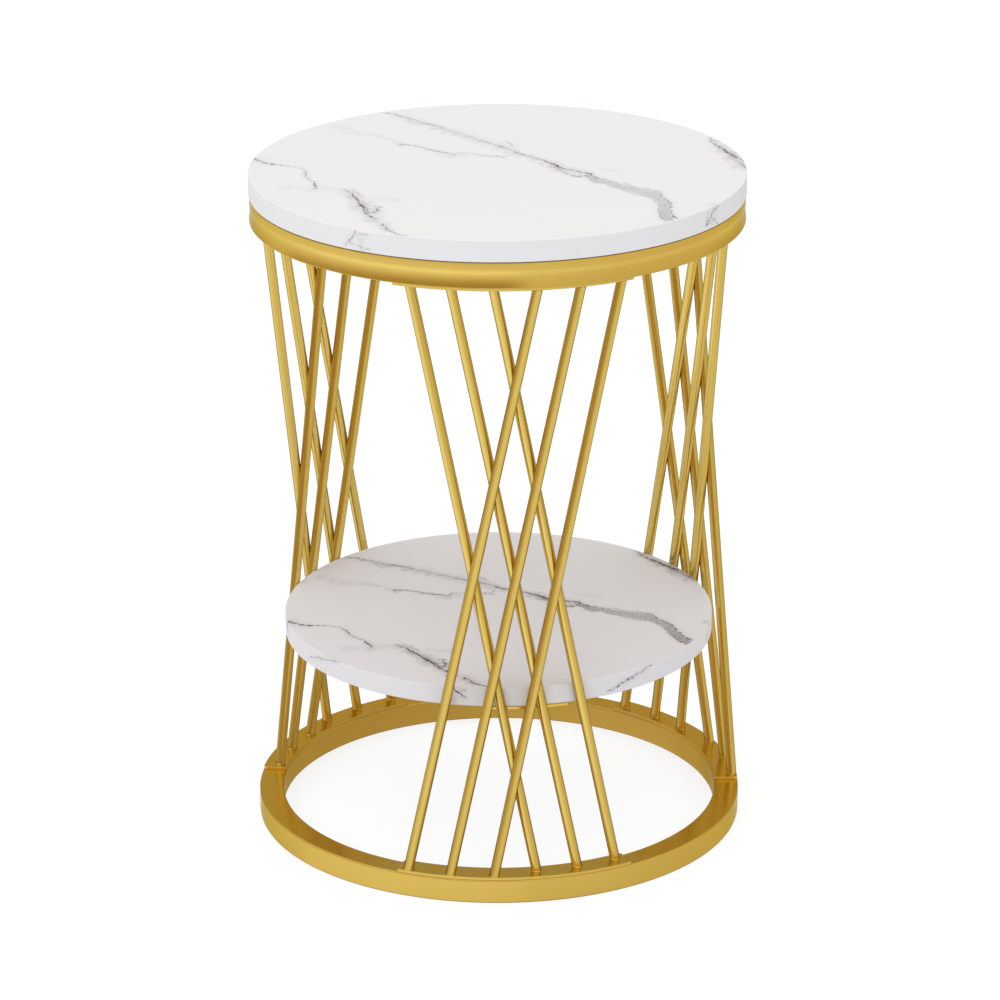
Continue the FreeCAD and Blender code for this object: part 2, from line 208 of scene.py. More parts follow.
def two_tone(tree, share, first, second):
    """Colour that drifts from one tone to another."""
    return add(tree, "Mix", {"Factor": share, "A": first, "B": second},
               data_type="RGBA").outputs["Result"]


def relief(tree, texture, strength, depth):
    """Surface raised and sunk by a texture."""
    return add(tree, "Bump", {"Height": texture.outputs["Fac"], "Strength": strength,
                              "Distance": depth})


def finish(tree, shader, colour, roughness, surface):
    """Gives a shader its colour, roughness and relief."""
    tree.links.new(colour, shader.inputs["Base Color"])
    tree.links.new(roughness, shader.inputs["Roughness"])
    tree.links.new(surface.outputs["Normal"], shader.inputs["Normal"])


def satin_gold(name, tones, edge_tint_and_outline_shade):
    """Satin gold plating on steel.

    The tone drifts between two tones from place to place, the gloss is broken by handling
    marks, and the steel's faint orange peel shows through. The edge tint dims and colours the
    metal where it is seen at a low angle; on the rods it is set dark, which paints shade along
    their outlines.
    """
    material, tree, shader, where = new_material(name)
    drift = noise(tree, where, 14, 3)
    tone = two_tone(tree, drift.outputs["Fac"], paint(*tones[0]), paint(*tones[1]))
    handled = noise(tree, where, 55, 5, 0.6)
    peel = noise(tree, where, 420, 2)
    grain = noise(tree, where, 2600, 3)
    grained = relief(tree, grain, 0.10, 0.01 * mm)
    tree.links.new(relief(tree, peel, 0.12, 0.05 * mm).outputs["Normal"],
                   grained.inputs["Normal"])
    finish(tree, shader, tone, spread(tree, handled.outputs["Fac"], 0.16, 0.24), grained)
    shader.inputs["Metallic"].default_value = 1
    shader.inputs["Specular Tint"].default_value = (*edge_tint_and_outline_shade, 1)
    return material


gold_tones = ((233, 200, 106), (240, 207, 113))
gold_slanting = (0.75, 0.70, 0.45)
gold = satin_gold("satin_gold", gold_tones, gold_slanting)
hoop = lathe([(base_inner, 0), (base_outer, 0), (base_outer, base_side),
              (base_inner, base_side)], hoop_steps)
soften(hoop, base_corner, 4)
hollow = lathe([(base_inner + base_wall, base_wall), (base_outer - base_wall, base_wall),
                (base_outer - base_wall, base_side - base_wall),
                (base_inner + base_wall, base_side - base_wall)], hoop_steps)
cut(hoop, hollow)
holes = bmesh.new()
for panel_turn in panel_turns.values():
    for stud_turn in stud_turns:
        stud_spot = spot(base_middle, panel_turn + stud_turn, 0)
        join(holes, peg(stud_hole, base_side / 2, 2 * base_side, stud_spot))
        join(holes, peg(spanner_hole, -base_side, base_side / 2 - mm, stud_spot))
cut(hoop, holes)
fit("base_hoop", hoop, gold, "gold_steel", "base_ring")


# ---------------------------------------------------------------- base plates
# One flat steel bar under each panel, bent the hard way to the hoop's curve, its corners
# rounded. The rods are welded to it. Two threaded studs under it go into the base hoop.

plate_thickness = 2.5 * mm
plate_corner = 3 * mm
plate_overhang = 10 * mm
plate_edge = 0.35 * mm
base_plate_inset = 0.3 * mm
base_plate_outer = base_outer - base_plate_inset
base_plate_inner = base_inner + base_plate_inset
base_plate_top = base_side + plate_thickness
rod_diameter = 8 * mm
rods_per_layer = 3
stud_length = 12 * mm
stud_pitch = 0.8 * mm
stud_depth = 0.3 * mm
thread_steps = 32
square_angle = 60


def bent(profile, start, end):
    """Closed (radius, height) profile swept along the hoops' curve between two angles."""
    bm = bmesh.new()
    points = [bm.verts.new(spot(radius, start, height)) for radius, height in profile]
    edges = [bm.edges.new(pair) for pair in zip(points, points[1:] + points[:1])]
    bmesh.ops.spin(bm, geom=points + edges, axis=(0, 0, 1), cent=(0, 0, 0),
                   angle=math.radians(end - start), steps=max(8, round(end - start)))
    bmesh.ops.holes_fill(bm, edges=[edge for edge in bm.edges if edge.is_boundary], sides=0)
    bmesh.ops.recalc_face_normals(bm, faces=bm.faces)
    return bm


def hoop_bar(inner, outer, start, end, low, high, corner):
    """Flat bar bent to the hoops' curve between two angles, with rounded corners."""
    bm = bent([(inner, low), (outer, low), (outer, high), (inner, high)], start, end)
    uprights = [edge for edge in bm.edges
                if abs(edge.verts[0].co.z - edge.verts[1].co.z) > (high - low) / 2
                and edge.calc_face_angle(0) > math.radians(square_angle)]
    bmesh.ops.bevel(bm, geom=uprights, affect="EDGES", offset=corner, offset_type="OFFSET",
                    segments=6, profile=0.5, material=-1)
    return bm


def thread(diameter, low, high, pitch, depth):
    """Threaded shank: a row of ridges with narrow crests between two heights."""
    radius = diameter / 2
    count = round((high - low) / pitch)
    profile = [(0, low), (radius - depth, low)]
    for ridge in range(count):
        foot = low + ridge * pitch
        profile += [(radius, foot + pitch * 0.4), (radius, foot + pitch * 0.6),
                    (radius - depth, foot + pitch)]
    profile += [(radius - depth, high), (0, high)]
    return lathe(profile, thread_steps)


def plate_reach(end_radius):
    """Half the angle that a plate covers, past its last rod."""
    return (rods_per_layer - 0.5) * rod_pitch + math.degrees(plate_overhang / end_radius)


base_reach = plate_reach(base_plate_outer - rod_diameter / 2)
stud = thread(stud_diameter, base_side - stud_length, base_side, stud_pitch, stud_depth)
for panel, panel_turn in panel_turns.items():
    plate = hoop_bar(base_plate_inner, base_plate_outer, panel_turn - base_reach,
                     panel_turn + base_reach, base_side, base_plate_top, plate_corner)
    soften(plate, plate_edge, 3)
    for stud_turn in stud_turns:
        join(plate, stud, spot(base_middle, panel_turn + stud_turn, 0))
    fit("base_bar_" + panel, plate, gold, "gold_steel", panel + "_base_plate")


# ---------------------------------------------------------------- flange nuts
# Zinc-plated hexagon nuts with a round flange, run up the studs inside the base hoop and
# tightened through the wide holes in its underside.

nut_flats = 8 * mm
nut_height = 5 * mm
nut_bore = 5.1 * mm
nut_flange = 11.8 * mm
nut_flange_height = 1.2 * mm
nut_edge = 0.4 * mm
nut_seat = base_side - base_wall

# Bright zinc: cold grey metal with a fine crystal mottle and small scratches.
zinc, tree, shader, where = new_material("bright_zinc")
mottle = add(tree, "TexVoronoi", {"Vector": where, "Scale": 900, "Randomness": 1})
tone = two_tone(tree, mottle.outputs["Distance"], paint(196, 198, 200), paint(214, 215, 213))
scratch = noise(tree, where, 1500, 4, distortion=2)
finish(tree, shader, tone, spread(tree, scratch.outputs["Fac"], 0.26, 0.42),
       relief(tree, scratch, 0.2, 0.02 * mm))
shader.inputs["Metallic"].default_value = 1

nut = bmesh.new()
nut_corners = nut_flats / math.sqrt(3)
bmesh.ops.create_cone(nut, cap_ends=True, segments=6, radius1=nut_corners,
                      radius2=nut_corners, depth=nut_height,
                      matrix=Matrix.Translation((0, 0, nut_seat - nut_height / 2)))
soften(nut, nut_edge, 2)
cut(nut, peg(nut_bore, nut_seat - 2 * nut_height, nut_seat + nut_height))
flange = lathe([(nut_bore / 2, nut_seat), (nut_flange / 2, nut_seat),
                (nut_flange / 2, nut_seat - nut_flange_height / 2),
                (nut_flats / 2, nut_seat - nut_flange_height),
                (nut_bore / 2, nut_seat - nut_flange_height)], peg_steps)
join(nut, flange)
nuts = bmesh.new()
for panel_turn in panel_turns.values():
    for stud_turn in stud_turns:
        turn = panel_turn + stud_turn
        join(nuts, nut, spot(base_middle, turn, 0), turn)
fit("flange_nuts", nuts, zinc, "zinc_steel", "base_nuts")


# ---------------------------------------------------------------- rods
# Eighteen straight round bars, six to a panel. Three outer ones lean to the right and three
# inner ones to the left, three pitches each, so that they cross. Each end is cut level and
# welded to its plate, with the bead kept small on the inside and plated over.

top_low, top_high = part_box("top_ring")
top_plate_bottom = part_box("front_top_plate")[0].z
top_plate_inset = 3.5 * mm
top_plate_outer = top_high.x - top_plate_inset
layer_gap = 0.05 * mm
lean_turn = rods_per_layer * rod_pitch
layer_step = (rod_diameter + layer_gap) / math.cos(math.radians(lean_turn / 2))
rod_radius = rod_diameter / 2
bead_foot = 0.5 * mm
bead_height = 0.7 * mm
bead_root = 0.3 * mm
bead_crown = 0.1 * mm
bead_margin = 0.1 * mm


def trim(bm, point, outwards):
    """Cuts a closed shape off at a plane and closes it again."""
    bmesh.ops.bisect_plane(bm, geom=bm.verts[:] + bm.edges[:] + bm.faces[:], plane_co=point,
                           plane_no=outwards, dist=0.0001 * mm, clear_outer=True)
    rim = [edge for edge in bm.edges if edge.is_boundary]
    bmesh.ops.holes_fill(bm, edges=rim, sides=0)


def welded_rod(foot, head, edge_radius_low, edge_radius_high):
    """Leaning bar with level ends, and a weld bead round each end, inside the plate's edge."""
    run = head - foot
    lean = run.to_track_quat("Z", "Y").to_matrix().to_4x4()
    bar = bmesh.new()
    bmesh.ops.create_cone(bar, cap_ends=True, segments=peg_steps, radius1=rod_radius,
                          radius2=rod_radius, depth=run.length + 4 * rod_diameter,
                          matrix=Matrix.Translation((foot + head) / 2) @ lean)
    trim(bar, foot, (0, 0, -1))
    trim(bar, head, (0, 0, 1))
    for end, up, edge_radius in ((foot, 1, edge_radius_low), (head, -1, edge_radius_high)):
        bead = lathe([(rod_radius - bead_root, 0), (rod_radius + bead_foot, 0),
                      (rod_radius + 0.35 * bead_foot, 0.3 * bead_height),
                      (rod_radius - bead_crown, bead_height),
                      (rod_radius - bead_root, bead_height)], peg_steps)
        slant = Matrix.Identity(4)
        slant[0][2] = up * run.x / run.z
        slant[1][2] = up * run.y / run.z
        slant[2][2] = up
        bmesh.ops.transform(bead, matrix=Matrix.Translation(end) @ slant, verts=bead.verts)
        bmesh.ops.recalc_face_normals(bead, faces=bead.faces)
        outwards = Vector((end.x, end.y, 0)).normalized()
        trim(bead, outwards * edge_radius + Vector((0, 0, end.z)), outwards)
        join(bar, bead)
    return bar


# The plating on the drawn rods is a little paler, and its dark edge tint paints shade along
# each rod's outlines, where it turns away.
rod_tones = ((231, 200, 109), (237, 207, 116))
rod_outline_shade = (0.0, 0.2, 0.35)
rod_gold_painted_outline = satin_gold("rod_gold_painted_outline", rod_tones, rod_outline_shade)
outer_base = base_plate_outer - rod_radius
outer_top = top_plate_outer - rod_radius
for panel, panel_turn in panel_turns.items():
    for place in range(rods_per_layer):
        stand = (place + 0.5) * rod_pitch
        lean = stand - lean_turn
        for layer, step, side in (("outer", 0, -1), ("inner", layer_step, 1)):
            foot = spot(outer_base - step, panel_turn + side * stand, base_plate_top)
            head = spot(outer_top - step, panel_turn + side * lean, top_plate_bottom)
            bar = welded_rod(foot, head, base_plate_outer - bead_margin,
                             top_plate_outer - bead_margin)
            number = str(place + 1)
            fit("bar_%s_%s_%s" % (panel, layer, number), bar, rod_gold_painted_outline, "gold_steel",
                "%s_%s_rod_%s" % (panel, layer, number))


# ---------------------------------------------------------------- top plates
# The same kind of bar at the rods' upper ends, a little thicker. It is welded under the top
# hoop, in from the hoop's foot. Its middle is countersunk from below for one screw.

hoop_width = 20 * mm
hoop_middle = top_high.x - hoop_width / 2
top_screw_head = 9 * mm
top_screw_hole = 5 * mm
sink_slope = (top_screw_head - top_screw_hole) / 2
sink_end = 9 * mm
plate_spare = 0.2 * mm
top_plate_inner = outer_top - layer_step - rod_radius - plate_spare
top_reach = plate_reach(outer_top)
for panel, panel_turn in panel_turns.items():
    plate = hoop_bar(top_plate_inner, top_plate_outer, panel_turn - top_reach,
                     panel_turn + top_reach, top_plate_bottom, top_low.z, plate_corner)
    soften(plate, plate_edge, 3)
    sink = lathe([(0, -mm), (top_screw_head / 2 + mm, -mm), (top_screw_hole / 2, sink_slope),
                  (top_screw_hole / 2, sink_end), (0, sink_end)], peg_steps)
    sinks = bmesh.new()
    join(sinks, sink, spot(hoop_middle, panel_turn, top_plate_bottom))
    cut(plate, sinks)
    fit("top_bar_" + panel, plate, gold, "gold_steel", panel + "_top_plate")


# ---------------------------------------------------------------- shelf strips
# A short flat bar in each panel, welded at its outer edge to two of the inner rods. The
# shelf lies on the three of them and is screwed down through them.

strip_width = 16 * mm
strip_corner = 2 * mm
strip_tail = 16 * mm
strip_nose = 23 * mm
strip_gap = 0.1 * mm
shelf_low, shelf_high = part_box("shelf_board")
strip_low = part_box("front_shelf_strip")[0].z


def inner_rod_at(place, height):
    """Radius and angle of an inner rod's middle at a height, from the panel's middle."""
    stand = (place + 0.5) * rod_pitch
    foot = spot(outer_base - layer_step, stand, base_plate_top)
    head = spot(outer_top - layer_step, stand - lean_turn, top_plate_bottom)
    point = foot.lerp(head, (height - foot.z) / (head.z - foot.z))
    return math.hypot(point.x, point.y), math.degrees(math.atan2(point.x, -point.y))


strip_outer = min(inner_rod_at(0, strip_low)[0], inner_rod_at(0, shelf_low.z)[0])
strip_outer -= rod_radius + strip_gap
strip_start = inner_rod_at(0, strip_low)[1] - math.degrees(strip_tail / strip_outer)
strip_end = inner_rod_at(1, strip_low)[1] + math.degrees(strip_nose / strip_outer)
for panel, panel_turn in panel_turns.items():
    strip = hoop_bar(strip_outer - strip_width, strip_outer, panel_turn + strip_start,
                     panel_turn + strip_end, strip_low, shelf_low.z, strip_corner)
    soften(strip, plate_edge, 3)
    fit("strip_" + panel, strip, gold, "gold_steel", panel + "_shelf_strip")


# ---------------------------------------------------------------- shelf
# Round fibreboard panel in a printed marble laminate with a satin finish, wrapped over its
# edge. It slips inside the inner rods. The underside has a plain white backing sheet.

board_edge = 0.6 * mm
rim_margin = 0.1 * mm
rebate_depth = 4 * mm
faces_down = -0.9
print_radius = 200
shelf_print_turn = 19.7
shelf_print_strength = 1.6
# The shelf's white is set darker than the top's: painted shade from the top above it.
shelf_shaded_grounds = ((231, 229, 233), (233, 231, 235))
vein_tone = (76, 77, 83)

# The print's veins. Each is a row of (x, y, half width, darkness): places in millimetres
# from the middle of a print that is 200 mm in radius, and darkness from 0 to 1.
vein_rows = (
    # Two long veins from the back left that meet right of the middle
    ((-95, 172, 2.6, .60), (-86, 168, 2.4, .55), (-74, 153, 2.4, .50), (-56, 134, 3, .60),
     (-49, 128, 3, .45), (-37, 112, 3, .30), (-22, 94, 3, .25), (-9, 79, 3, .30),
     (4, 64, 3.2, .40), (10, 58, 3, .35), (15, 47, 2.6, .5)),
    ((6, 82, 2.2, .35), (10, 75, 2.4, .4), (13, 64, 2, .3)),
    ((-79, 74, 2.6, .65), (-72, 72, 2.2, .60), (-59, 61, 2.2, .55), (-46, 51, 2.4, .60),
     (-36, 42, 3, .65), (-29, 47, 2.2, .45), (-18, 44, 2, .35), (-9, 37, 2.2, .35),
     (4, 35, 2.4, .40), (10, 40, 2.2, .5), (15, 47, 2.6, .7)),
    ((-1, 38, 1.8, .45), (2, 35, 2, .5), (6, 30, 1.6, .4)),
    # From there on to the broad vein
    ((15, 47, 2.6, .75), (27, 36, 2.4, .50), (37, 25, 2.4, .60), (45, 13, 3.8, 1.0),
     (51, 1, 3.4, .85), (58, -2, 3, .80), (67, -11, 3, .85), (74, -15, 3, .8)),
    ((46, 4, 2, .45), (52, -9, 2.2, .55), (57, -17, 2.4, .60), (63, -23, 2.4, .65),
     (72, -24, 2, .55)),
    # Ragged edges of the broad vein
    ((72, -14, 2.8, .80), (78, -24, 2.4, .70), (86, -33, 2, .50), (94, -40, 2, .45),
     (101, -43, 2, .40), (107, -53, 2, .45), (115, -55, 2, .45), (122, -63, 2.2, .55),
     (128, -67, 2.4, .70), (129, -81, 2.4, .65), (135, -97, 2.4, .70), (135, -109, 2.2, .65),
     (135, -126, 2.2, .70), (138, -140, 3, .9)),
    ((71, -24, 2, .50), (78, -42, 2, .40), (85, -45, 2, .45), (94, -56, 2, .40),
     (102, -66, 2, .45), (110, -75, 2.4, .50), (118, -80, 2.2, .50), (123, -90, 2, .40),
     (125, -105, 2, .45), (126, -126, 2.2, .50), (128, -142, 3, .8)),
    # Left edge, down towards the middle
    ((-205, 34, 5, .55), (-196, 31, 6, .60), (-192, 23, 4, .55), (-187, 18, 3, .80),
     (-181, 14, 2.6, .95), (-175, 12, 2.4, .65), (-165, 8, 2, .40), (-159, 4, 2, .35),
     (-155, -3, 2.2, .50), (-154, -13, 2.6, .75), (-154, -20, 2, .50), (-150, -30, 1.8, .50),
     (-146, -36, 1.8, .60), (-145, -44, 2.2, .90), (-143, -55, 2.4, 1.0)),
    # Cracked patch at the front left
    ((-121, -59, 4.0, .30), (-116, -68, 3.2, .49), (-114, -74, 2.7, .68),
     (-111, -83, 2.9, .84), (-109, -91, 2.6, .84), (-107, -98, 2.6, .91),
     (-106, -105, 2.4, .91), (-105, -112, 2.4, .99), (-103, -121, 1.9, .68),
     (-102, -128, 2.1, .84)),
    ((-106, -101, 1.9, .61), (-103, -111, 2.1, .76), (-101, -118, 1.9, .61),
     (-100, -129, 2.1, .61), (-97, -136, 2.1, .72), (-94, -140, 1.9, .68)),
    ((-100, -124, 1.6, .46), (-96, -124, 1.9, .72), (-94, -118, 2.1, .84),
     (-94, -111, 1.6, .53)),
    ((-96, -107, 1.6, .53), (-91, -109, 1.8, .68)),
    ((-115, -60, 2.1, .27), (-110, -69, 2.4, .34), (-106, -77, 2.1, .30)),
    ((-89, -154, 2.6, .95), (-87, -160, 2.4, .80), (-85, -168, 2.2, .80), (-81, -176, 2, .70),
     (-75, -184, 1.8, .60), (-70, -187, 1.6, .5)),
    # Back right edge
    ((175, 92, 2.4, .60), (176, 75, 2.4, .60), (182, 62, 2.8, .70), (187, 46, 3.4, 1.0),
     (194, 31, 2.8, .80), (199, 18, 2.4, .6)),
    ((180, 66, 2.4, .50), (190, 30, 2.8, .35), (199, 2, 2.6, .6)),
)

# Veins that only the wrapped edge of each board shows, in millimetres on the board itself.
top_edge_rows = (
    ((-125, -173, 1.2, .42), (-119, -173, 1.4, .56), (-114, -172, 1.4, .70),
     (-110, -169, 1.3, .65)),
    ((-113, -171, 1.2, .56), (-110, -172, 1.2, .52), (-106, -174, 1.2, .56),
     (-102, -176, 1.2, .47)),
    ((-119, -174, 1.2, .56), (-117, -177, 1.3, .56), (-113, -180, 1.2, .47),
     (-111, -185, 1.2, .52), (-106, -187, 1.1, .38)),
    ((174, -103, 1.4, .90), (170, -110, 1.5, 1.12), (173, -115, 1.5, 1.12),
     (174, -124, 1.5, 1.01)),
    ((173, -114, 1.2, .67), (180, -112, 1.2, .56), (187, -110, 1.2, .56)),
    ((166, -118, 1.2, .56), (171, -122, 1.4, .78), (178, -117, 1.2, .56)),
)
shelf_edge_rows = (
    ((-161, -93, 1.2, .36), (-146, -107, 1.3, .40), (-130, -121, 1.2, .36)),
    ((-38, -174, 1.4, .50), (-33, -179, 1.5, .61), (-28, -184, 1.3, .50)),
    ((-33, -179, 1.2, .36), (-27, -177, 1.2, .29)),
    ((124, -128, 1.3, .43), (116, -139, 1.4, .54), (106, -152, 1.4, .58), (95, -163, 1.3, .43)),
)

# Soft grey clouds round the veins, in the print's units, and the broad vein's own body.
cloud_rows = (
    ((-136, 133, 12, .06), (-120, 108, 12, .10), (-98, 99, 10, .10), (-78, 72, 8, .10)),
    ((-84, 160, 9, .10), (-56, 132, 12, .12), (-20, 90, 14, .10), (14, 52, 13, .14)),
    ((-60, 58, 8, .08), (-36, 38, 9, .10), (-10, 38, 8, .08)),
    ((16, 46, 12, .12), (45, 8, 14, .16), (72, -20, 12, .16)),
    ((78, 3, 9, .06), (100, -5, 9, .06)),
    ((-176, -50, 15, .05), (-142, -58, 14, .09), (-116, -62, 12, .07)),
    ((-118, -66, 12, .14), (-104, -104, 16, .22), (-96, -140, 14, .18), (-84, -172, 9, .10)),
    ((-98, -76, 12, .08), (-80, -96, 12, .06)),
    ((178, 84, 12, .14), (190, 36, 14, .18), (198, -6, 12, .14)),
    ((-108, -172, 8, .10), (-112, -186, 8, .10)),
    ((168, -100, 8, .10), (176, -118, 10, .16)),
)
broad_vein = ((71, -19, 3, .36), (75, -25, 4, .36), (84, -39, 6.5, .30), (90, -43, 5.8, .30),
              (100, -54, 6.5, .27), (110, -63, 8.5, .27), (119, -71, 9, .26),
              (123, -77, 6.4, .27), (127, -88, 5, .30), (130, -100, 5.8, .30),
              (130, -111, 5.2, .32), (130, -125, 5, .34), (132, -140, 5, .34),
              (132, -146, 5, .36))

# How far the veins reach, in half widths, and how far they stray, in the print's units.
line_core = 0.1
line_edge = 0.7
haze_spill = 3.4
wave_reach = 4
shard_reach = 1.5
cloud_reach = 26


def curve_node(tree, along, values):
    """Float curve through values at shares of the way along, with straight runs."""
    node = add(tree, "FloatCurve", {"Value": along})
    mapping = node.mapping
    mapping.use_clip = False
    line = mapping.curves[0]
    line.points[0].location = values[0]
    line.points[1].location = values[-1]
    for value in values[1:-1]:
        line.points.new(*value)
    for point in line.points:
        point.handle_type = "VECTOR"
    mapping.update()
    return node.outputs["Value"]


def maths(tree, operation, first, second=0.0):
    """One sum of two values."""
    node = add(tree, "Math", {0: first, 1: second}, operation=operation)
    return node.outputs[0]


def faded(tree, value, start, end):
    """Value that falls softly from 1 to 0."""
    return add(tree, "MapRange", {"Value": value, "From Min": start, "From Max": end,
                                  "To Min": 1, "To Max": 0},
               interpolation_type="SMOOTHSTEP").outputs["Result"]


def vein(tree, place, row, core, edge, spill):
    """Darkness of one vein, and of a haze beside it.

    The line is fully dark to core half widths and gone at edge half widths, and the haze
    reaches to spill half widths.
    """
    start = Vector(row[0][:2])
    chord = Vector(row[-1][:2]) - start
    length = chord.length
    heading = math.atan2(chord.y, chord.x)
    local = add(tree, "Mapping", {"Vector": place, "Location": (start.x, start.y, 0),
                                  "Rotation": (0, 0, heading),
                                  "Scale": (length, length, 1)}, vector_type="TEXTURE")
    split = add(tree, "SeparateXYZ", {"Vector": local.outputs["Vector"]})
    along = split.outputs["X"]
    path = []
    widths = []
    shades = []
    for x, y, width, shade in row:
        offset = Vector((x, y)) - start
        share = offset.dot(chord) / length ** 2
        path.append((share, chord.cross(offset) / length ** 2))
        widths.append((share, width / length))
        shades.append((share, shade))
    aside = maths(tree, "SUBTRACT", split.outputs["Y"], curve_node(tree, along, path))
    aside = maths(tree, "ABSOLUTE", aside)
    width = curve_node(tree, along, widths)
    past_end = maths(tree, "ABSOLUTE", maths(tree, "SUBTRACT", along, 0.5))
    shade = maths(tree, "MULTIPLY", curve_node(tree, along, shades),
                  faded(tree, past_end, 0.5, 0.5 + 3 / length))
    line = faded(tree, aside, maths(tree, "MULTIPLY", width, core),
                 maths(tree, "MULTIPLY", width, edge))
    haze = faded(tree, aside, 0.0, maths(tree, "MULTIPLY", width, spill))
    return maths(tree, "MULTIPLY", line, shade), maths(tree, "MULTIPLY", haze, shade)


def nudged(tree, place, texture, reach):
    """Place moved about by a texture's colour."""
    centred = add(tree, "VectorMath", {0: texture.outputs["Color"], 1: (0.5, 0.5, 0.5)},
                  operation="SUBTRACT")
    moved = add(tree, "VectorMath", {0: centred.outputs[0], "Scale": reach}, operation="SCALE")
    flat = add(tree, "VectorMath", {0: moved.outputs[0], 1: (1, 1, 0)}, operation="MULTIPLY")
    return add(tree, "VectorMath", {0: place, 1: flat.outputs[0]}, operation="ADD").outputs[0]


def cracked(tree, place):
    """Place moved in long waves, short ripples and small shards, so that lines turn ragged."""
    place = nudged(tree, place, noise(tree, place, 0.05, 2), wave_reach)
    place = nudged(tree, place, noise(tree, place, 0.22, 3, 0.6), wave_reach)
    shards = add(tree, "TexVoronoi", {"Vector": place, "Scale": 0.28, "Randomness": 1})
    return nudged(tree, place, shards, shard_reach)


def veins(tree, place, rows):
    """Darkness of a set of veins: ragged, broken lines with a speckled haze beside them."""
    ragged = cracked(tree, place)
    lines = 0.0
    hazes = 0.0
    for row in rows:
        line, haze = vein(tree, ragged, row, line_core, line_edge, haze_spill)
        lines = maths(tree, "MAXIMUM", line, lines)
        hazes = maths(tree, "MAXIMUM", haze, hazes)
    breaks = noise(tree, place, 0.30, 4, 0.7).outputs["Fac"]
    specks = noise(tree, place, 0.55, 3, 0.7).outputs["Fac"]
    lines = maths(tree, "MULTIPLY", lines, spread(tree, breaks, 0.1, 1.4, 0.35, 0.65))
    hazes = maths(tree, "MULTIPLY", hazes, spread(tree, specks, 0, 0.36, 0.4, 0.7))
    return maths(tree, "MAXIMUM", lines, hazes)


# The print itself, as one node group: a place on it in millimetres goes in, and how dark
# the marble is there comes out.
marble_print = bpy.data.node_groups.new("marble_print", "ShaderNodeTree")
marble_print.interface.new_socket("Place", in_out="INPUT", socket_type="NodeSocketVector")
marble_print.interface.new_socket("Dark", in_out="OUTPUT", socket_type="NodeSocketFloat")
tree = marble_print
entry = tree.nodes.new("NodeGroupInput")
result = tree.nodes.new("NodeGroupOutput")
place = entry.outputs["Place"]
dark = veins(tree, place, vein_rows)
smoke = noise(tree, place, 0.45, 4, 0.7, 0.6).outputs["Fac"]
body = vein(tree, cracked(tree, place), broad_vein, 0.75, 1, 1.5)[0]
body = maths(tree, "MULTIPLY", body, spread(tree, smoke, 0.4, 1.7, 0.35, 0.65))
dark = maths(tree, "MAXIMUM", dark, body)
drifting = nudged(tree, place, noise(tree, place, 0.06, 3, 0.6), cloud_reach)
soft = 0.0
for row in cloud_rows:
    soft = maths(tree, "MAXIMUM", vein(tree, drifting, row, 0.0, 1, 1)[0], soft)
wisps = noise(tree, place, 0.12, 6, 0.65).outputs["Fac"]
soft = maths(tree, "MULTIPLY", soft, spread(tree, wisps, 0, 2, 0.35, 0.7))
dark = maths(tree, "ADD", dark, soft)
tree.links.new(dark, result.inputs["Dark"])


def marble_laminate(name, radius, top, turn, edge_rows, strength, ground_and_shade_tones):
    """Satin marble laminate. The print runs over the edge and down the side.

    The strength is how dark the print's veins come out. The last two tones are the white's,
    which drifts between them; the shelf's are set darker than the top's, painted shade from
    the top above it.
    """
    material, tree, shader, where = new_material(name)
    flat = add(tree, "VectorMath", {0: where, 1: (1, 1, 0)}, operation="MULTIPLY").outputs[0]
    out = add(tree, "VectorMath", {0: flat}, operation="NORMALIZE").outputs[0]
    height = add(tree, "SeparateXYZ", {"Vector": where}).outputs["Z"]
    depth = maths(tree, "SUBTRACT", top, height)
    fold = add(tree, "VectorMath", {0: out, "Scale": depth}, operation="SCALE").outputs[0]
    unfolded = add(tree, "VectorMath", {0: flat, 1: fold}, operation="ADD").outputs[0]
    size = print_radius / radius
    sized = add(tree, "Mapping", {"Vector": unfolded, "Rotation": (0, 0, math.radians(-turn)),
                                  "Scale": (size, size, size)}).outputs[0]
    printed = tree.nodes.new("ShaderNodeGroup")
    printed.node_tree = marble_print
    tree.links.new(sized, printed.inputs["Place"])
    own = add(tree, "VectorMath", {0: unfolded, "Scale": 1 / mm}, operation="SCALE").outputs[0]
    dark = maths(tree, "MAXIMUM", printed.outputs["Dark"], veins(tree, own, edge_rows))
    dark = maths(tree, "MINIMUM", maths(tree, "MULTIPLY", dark, strength), 1)
    cast = noise(tree, sized, 0.02, 4).outputs["Fac"]
    white_and_shade = two_tone(tree, cast, paint(*ground_and_shade_tones[0]), paint(*ground_and_shade_tones[1]))
    colour = two_tone(tree, dark, white_and_shade, paint(*vein_tone))
    satin = noise(tree, sized, 2.2, 3)
    finish(tree, shader, colour, spread(tree, satin.outputs["Fac"], 0.34, 0.42),
           relief(tree, satin, 0.08, 0.02 * mm))
    shader.inputs["Specular IOR Level"].default_value = 0.35
    return material


# Backing sheet: plain white melamine paper with a fine pebble.
backing, tree, shader, where = new_material("white_backing")
cast = noise(tree, where, 9, 4).outputs["Fac"]
tone = two_tone(tree, cast, paint(232, 231, 228), paint(240, 239, 237))
pebble = noise(tree, where, 1400, 2)
finish(tree, shader, tone, spread(tree, pebble.outputs["Fac"], 0.5, 0.62),
       relief(tree, pebble, 0.25, 0.03 * mm))


